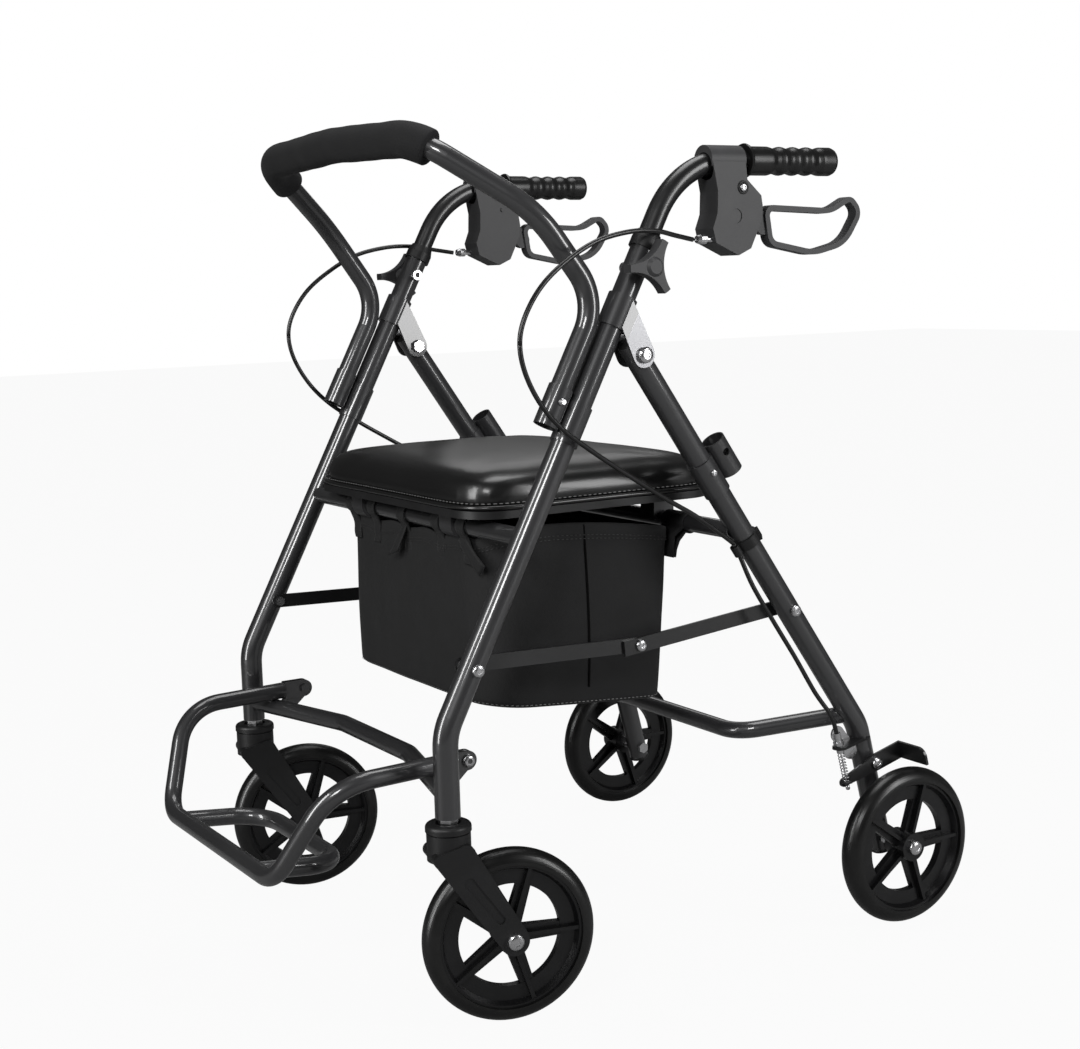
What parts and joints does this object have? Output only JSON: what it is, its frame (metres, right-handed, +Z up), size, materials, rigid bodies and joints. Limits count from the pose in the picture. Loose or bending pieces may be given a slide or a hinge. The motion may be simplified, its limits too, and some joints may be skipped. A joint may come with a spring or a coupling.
{
  "type": "rollator walker",
  "caption": "Folding four-wheeled walker with a padded seat, a bag under it, loop brake levers, height-set handles, a padded backrest bar and a folding footrest.",
  "frame": {"origin": "on the floor, at the centre of the bounding box", "axes": "+X to the user's left, -Y to the front (the footrest side), +Z up"},
  "size_m": [0.6138, 0.8048, 0.8973],
  "materials": {
    "frame_paint": "glossy dark grey paint",
    "bright_steel": "bright plated steel",
    "black_paint": "satin black paint",
    "black_plastic": "satin black",
    "grey_plastic": "matte dark grey",
    "wheel_plastic": "semi-gloss black",
    "tyre": "smooth glossy rubber",
    "foam": "matte foam",
    "grip_rubber": "matte moulded rubber",
    "vinyl": "glossy vinyl over foam",
    "nylon": "woven nylon",
    "cable_jacket": "glossy sleeve"
  },
  "bodies": {
    "front_frame": {"front_leg_left": "frame_paint", "front_leg_right": "frame_paint", "front_cross_tube": "frame_paint", "front_seat_bar": "frame_paint", "hinge_brackets": "bright_steel", "front_sockets": "frame_paint", "leg_collars": "black_plastic", "front_bolts": "bright_steel", "backrest_bar": "frame_paint", "backrest_foam": "foam", "bag": "nylon", "bag_straps": "nylon"},
    "rear_frame": {"rear_leg_left": "frame_paint", "rear_leg_right": "frame_paint", "rear_seat_bar": "frame_paint", "rear_cross_tube": "frame_paint", "rear_sockets": "frame_paint", "cable_clips": "black_plastic", "cable_stops": "bright_steel", "rear_bolts": "bright_steel", "brake_springs": "bright_steel", "brake_cable_left": "cable_jacket", "brake_cable_right": "cable_jacket"},
    "seat": {"seat_base": "black_plastic", "seat_cushion": "vinyl", "seat_clips": "grey_plastic"},
    "footrest": {"footrest": "frame_paint", "footrest_hinges": "frame_paint"},
    "front_link_left": {"front_link_left": "frame_paint"},
    "rear_link_left": {"rear_link_left": "frame_paint"},
    "handle_left": {"handle_tube_left": "black_paint", "grip_left": "grip_rubber", "brake_housing_left": "grey_plastic", "cable_adjuster_left": "bright_steel"},
    "lever_left": {"brake_lever_left": "black_plastic"},
    "brake_left": {"brake_arm_left": "black_paint"},
    "knob_left": {"knob_left": "grey_plastic"},
    "button_left": {"snap_button_left": "bright_steel"},
    "caster_left": {"caster_fork_left": "grey_plastic", "caster_bolts_left": "bright_steel"},
    "front_wheel_left": {"front_wheel_left": "wheel_plastic", "front_tyre_left": "tyre"},
    "rear_wheel_left": {"rear_wheel_left": "wheel_plastic", "rear_tyre_left": "tyre"},
    "front_link_right": {"front_link_right": "frame_paint"},
    "rear_link_right": {"rear_link_right": "frame_paint"},
    "handle_right": {"handle_tube_right": "black_paint", "grip_right": "grip_rubber", "brake_housing_right": "grey_plastic", "cable_adjuster_right": "bright_steel"},
    "lever_right": {"brake_lever_right": "black_plastic"},
    "brake_right": {"brake_arm_right": "black_paint"},
    "knob_right": {"knob_right": "grey_plastic"},
    "button_right": {"snap_button_right": "bright_steel"},
    "caster_right": {"caster_fork_right": "grey_plastic", "caster_bolts_right": "bright_steel"},
    "front_wheel_right": {"front_wheel_right": "wheel_plastic", "front_tyre_right": "tyre"},
    "rear_wheel_right": {"rear_wheel_right": "wheel_plastic", "rear_tyre_right": "tyre"}
  },
  "joints": [
    {"name": "fold", "type": "hinge", "parent": "front_frame", "child": "rear_frame", "pos_m": [0, -0.014, 0.656], "axis": [-1, 0, 0], "range_deg": [0, 30], "deforming": ["brake_cable_left", "brake_cable_right", "bag"]},
    {"name": "seat_fold", "type": "hinge", "parent": "front_frame", "child": "seat", "pos_m": [0, -0.15123, 0.482], "axis": [1, 0, 0], "range_deg": [0, 90]},
    {"name": "front_link_left_turn", "type": "hinge", "parent": "front_frame", "child": "front_link_left", "pos_m": [0.23, -0.2161, 0.36], "axis": [-1, 0, 0], "range_deg": [0, 60.1]},
    {"name": "rear_link_left_turn", "type": "hinge", "parent": "rear_frame", "child": "rear_link_left", "pos_m": [0.23, 0.1811, 0.37], "axis": [1, 0, 0], "range_deg": [0, 72.1]},
    {"name": "handle_left_height", "type": "slide", "parent": "front_frame", "child": "handle_left", "axis": [0, 0.4695, 0.8829], "range_m": [0, 0.15], "deforming": ["brake_cable_left"]},
    {"name": "lever_left_squeeze", "type": "hinge", "parent": "handle_left", "child": "lever_left", "pos_m": [0.244, 0.114, 0.822], "axis": [1, 0, 0], "range_deg": [0, 10], "stiffness_Nm_per_rad": 2, "deforming": ["brake_cable_left", "brake_springs"]},
    {"name": "brake_left_turn", "type": "hinge", "parent": "rear_frame", "child": "brake_left", "pos_m": [0.264, 0.29032, 0.183], "axis": [-1, 0, 0], "range_deg": [0, 5.5], "deforming": ["brake_cable_left", "brake_springs"]},
    {"name": "knob_left_turn", "type": "hinge", "parent": "front_frame", "child": "knob_left", "pos_m": [0.269, -0.01232, 0.74324], "axis": [1, 0, 0], "continuous": true},
    {"name": "button_left_press", "type": "slide", "parent": "front_frame", "child": "button_left", "axis": [-1, 0, 0], "range_m": [0, 0.004], "stiffness_N_per_m": 800, "springref_m": -0.002},
    {"name": "caster_left_swivel", "type": "hinge", "parent": "front_frame", "child": "caster_left", "pos_m": [0.244, -0.248, 0.2], "axis": [0, 0, 1], "continuous": true},
    {"name": "front_wheel_left_spin", "type": "hinge", "parent": "caster_left", "child": "front_wheel_left", "pos_m": [0.25803, -0.19172, 0.089], "axis": [0.9703, -0.2419, 0], "continuous": true},
    {"name": "rear_wheel_left_spin", "type": "hinge", "parent": "rear_frame", "child": "rear_wheel_left", "pos_m": [0.2867, 0.3134, 0.089], "axis": [1, 0, 0], "continuous": true},
    {"name": "front_link_right_turn", "type": "hinge", "parent": "front_frame", "child": "front_link_right", "pos_m": [-0.23, -0.2161, 0.36], "axis": [-1, 0, 0], "range_deg": [0, 60.1]},
    {"name": "rear_link_right_turn", "type": "hinge", "parent": "rear_frame", "child": "rear_link_right", "pos_m": [-0.23, 0.1811, 0.37], "axis": [1, 0, 0], "range_deg": [0, 72.1]},
    {"name": "handle_right_height", "type": "slide", "parent": "front_frame", "child": "handle_right", "axis": [0, 0.4695, 0.8829], "range_m": [0, 0.15], "deforming": ["brake_cable_right"]},
    {"name": "lever_right_squeeze", "type": "hinge", "parent": "handle_right", "child": "lever_right", "pos_m": [-0.244, 0.114, 0.822], "axis": [1, 0, 0], "range_deg": [0, 10], "stiffness_Nm_per_rad": 2, "deforming": ["brake_cable_right", "brake_springs"]},
    {"name": "brake_right_turn", "type": "hinge", "parent": "rear_frame", "child": "brake_right", "pos_m": [-0.264, 0.29032, 0.183], "axis": [-1, 0, 0], "range_deg": [0, 5.5], "deforming": ["brake_cable_right", "brake_springs"]},
    {"name": "knob_right_turn", "type": "hinge", "parent": "front_frame", "child": "knob_right", "pos_m": [-0.269, -0.01232, 0.74324], "axis": [1, 0, 0], "continuous": true},
    {"name": "button_right_press", "type": "slide", "parent": "front_frame", "child": "button_right", "axis": [1, 0, 0], "range_m": [0, 0.004], "stiffness_N_per_m": 800, "springref_m": -0.002},
    {"name": "caster_right_swivel", "type": "hinge", "parent": "front_frame", "child": "caster_right", "pos_m": [-0.244, -0.248, 0.2], "axis": [0, 0, 1], "continuous": true},
    {"name": "front_wheel_right_spin", "type": "hinge", "parent": "caster_right", "child": "front_wheel_right", "pos_m": [-0.22997, -0.19172, 0.089], "axis": [0.9703, -0.2419, 0], "continuous": true},
    {"name": "rear_wheel_right_spin", "type": "hinge", "parent": "rear_frame", "child": "rear_wheel_right", "pos_m": [-0.2867, 0.3134, 0.089], "axis": [1, 0, 0], "continuous": true},
    {"name": "footrest_fold", "type": "hinge", "parent": "front_frame", "child": "footrest", "pos_m": [0, -0.202, 0.2564], "axis": [-1, 0, 0], "range_deg": [0, 90]}
  ],
  "couplings": [
    {"joint": "seat_fold", "follows": "fold", "ratio": 3},
    {"joint": "front_link_left_turn", "follows": "fold", "ratio": 1.9856},
    {"joint": "rear_link_left_turn", "follows": "fold", "ratio": 2.3858},
    {"joint": "brake_left_turn", "follows": "lever_left_squeeze", "ratio": 0.55},
    {"joint": "front_link_right_turn", "follows": "fold", "ratio": 1.9856},
    {"joint": "rear_link_right_turn", "follows": "fold", "ratio": 2.3858},
    {"joint": "brake_right_turn", "follows": "lever_right_squeeze", "ratio": 0.55}
  ]
}
